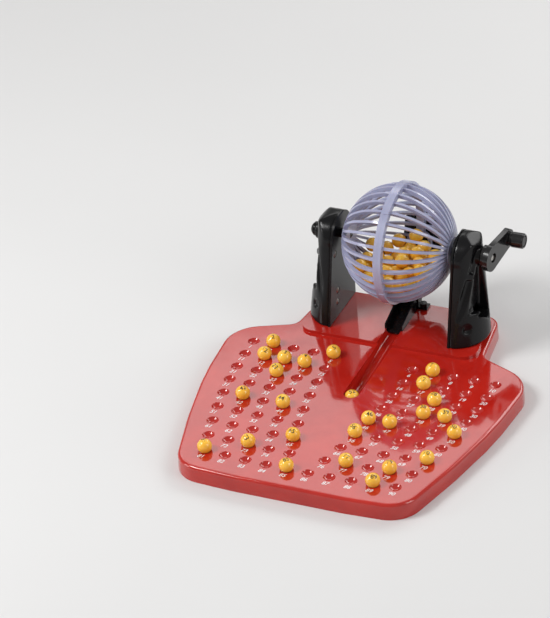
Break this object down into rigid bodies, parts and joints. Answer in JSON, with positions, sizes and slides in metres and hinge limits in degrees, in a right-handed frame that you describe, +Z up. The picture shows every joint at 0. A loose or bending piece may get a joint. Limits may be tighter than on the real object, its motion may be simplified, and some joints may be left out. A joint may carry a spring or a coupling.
{
  "type": "bingo cage",
  "caption": "Tabletop bingo cage: a ribbed ball cage on two stands, turned by a crank, with a chute, a groove and a board of numbered ball pits.",
  "frame": {"origin": "under the middle of the whole object's bounding box, on the surface the tray stands on", "axes": "+X to the crank side, along the cage's axle; +Y to the back, where the cage is; +Z up"},
  "size_m": [0.263, 0.3071, 0.14],
  "materials": {
    "tray_red": "glossy moulded red plastic",
    "stand_black": "glossy moulded black plastic",
    "cage_grey": "glossy moulded lavender grey plastic",
    "ball_yellow": "glossy yellow-orange plastic with a printed number",
    "screw_steel": "plated steel screws",
    "pin_dark": "dark nylon, satin"
  },
  "bodies": {
    "base": {"base_tray": "tray_red", "left_stand": "stand_black", "right_stand": "stand_black", "left_stand_cover": "stand_black", "right_stand_cover": "stand_black", "left_cover_screws": "screw_steel", "right_cover_screws": "screw_steel", "stand_base_screws": "screw_steel", "ball_chute": "stand_black", "chute_screws": "screw_steel", "rear_guard": "stand_black", "guard_screws": "screw_steel"},
    "cage": {"cage_half_left": "cage_grey", "cage_half_right": "cage_grey", "drive_shaft": "pin_dark", "pivot_pin": "stand_black", "crank_arm": "stand_black", "crank_screw": "screw_steel", "knob_pin": "pin_dark"},
    "knob": {"crank_knob": "stand_black"},
    "ball_heap": {"caged_balls": "ball_yellow"},
    "board_balls": {"called_balls": "ball_yellow"},
    "stopped_ball": {"drawn_ball": "ball_yellow"}
  },
  "joints": [
    {"name": "cage_spin", "type": "hinge", "parent": "base", "child": "cage", "pos_m": [0, 0.0965, 0.0885], "axis": [1, 0, 0], "continuous": true},
    {"name": "knob_spin", "type": "hinge", "parent": "cage", "child": "knob", "pos_m": [0, 0.12304, 0.09176], "axis": [1, 0, 0], "continuous": true},
    {"name": "heap_rock", "type": "hinge", "parent": "base", "child": "ball_heap", "pos_m": [0, 0.0965, 0.0885], "axis": [1, 0, 0], "range_deg": [-25, 25]},
    {"name": "board_balls_lift", "type": "slide", "parent": "base", "child": "board_balls", "axis": [0, 0, 1], "range_m": [0, 0.03]},
    {"name": "stopped_ball_roll", "type": "slide", "parent": "base", "child": "stopped_ball", "axis": [0, 0.9969, 0.0785], "range_m": [0, 0.08]}
  ]
}
